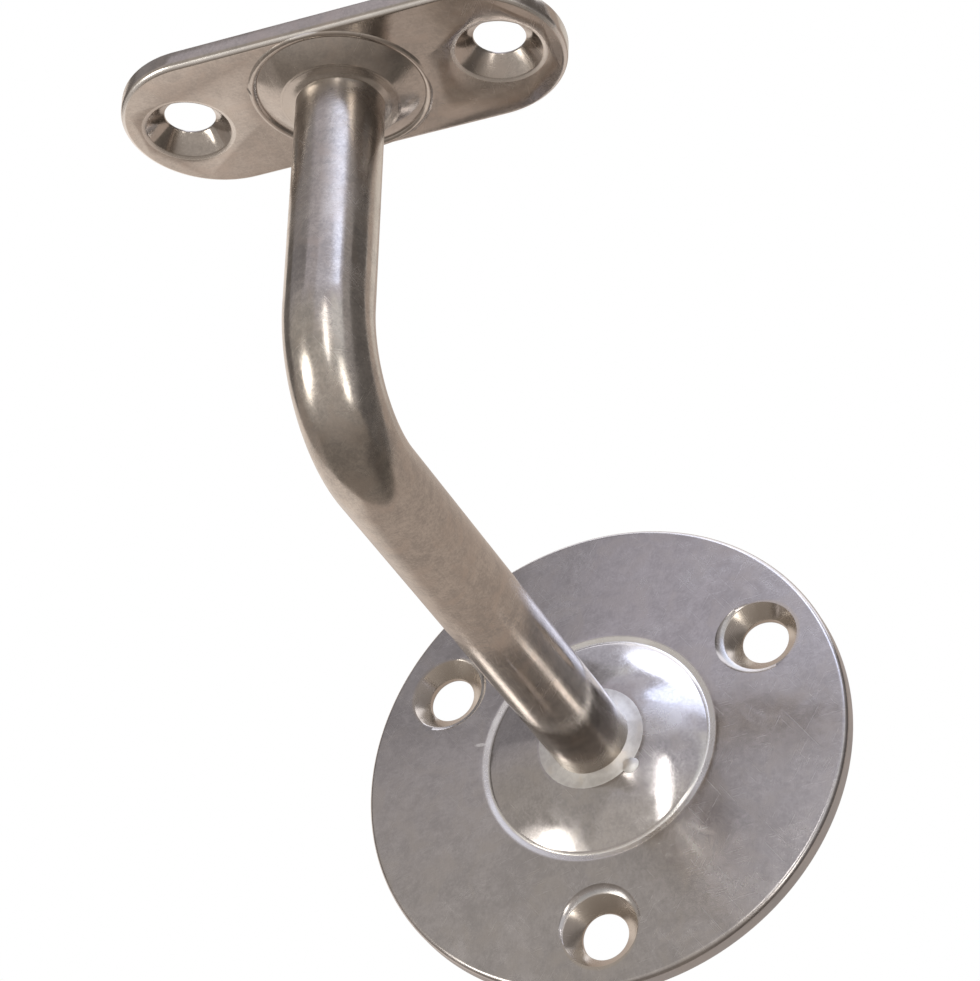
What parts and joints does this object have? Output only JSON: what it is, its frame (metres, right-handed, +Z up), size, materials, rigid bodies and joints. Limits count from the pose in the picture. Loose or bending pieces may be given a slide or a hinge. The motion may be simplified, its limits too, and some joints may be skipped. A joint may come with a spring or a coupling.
{
  "type": "handrail bracket",
  "caption": "Wall handrail bracket: round flange with screw holes, bent round bar and a slim plate that carries the rail.",
  "frame": {"origin": "middle of the flange's back, on the wall", "axes": "+Y into the wall, the arm along -Y; +Z up, towards the rail; +X along the rail"},
  "size_m": [0.08, 0.1186, 0.0974],
  "materials": {
    "flange_steel": "polished pressed plate with faint stains and hairline scratches",
    "bar_steel": "polished round bar, slightly mottled",
    "saddle_steel": "polished plate with faint stains",
    "weld_metal": "ground weld, satin"
  },
  "bodies": {
    "root": {"wall_flange": "flange_steel", "bent_arm": "bar_steel", "rail_saddle": "saddle_steel", "flange_weld": "weld_metal", "saddle_weld": "weld_metal"}
  },
  "joints": []
}
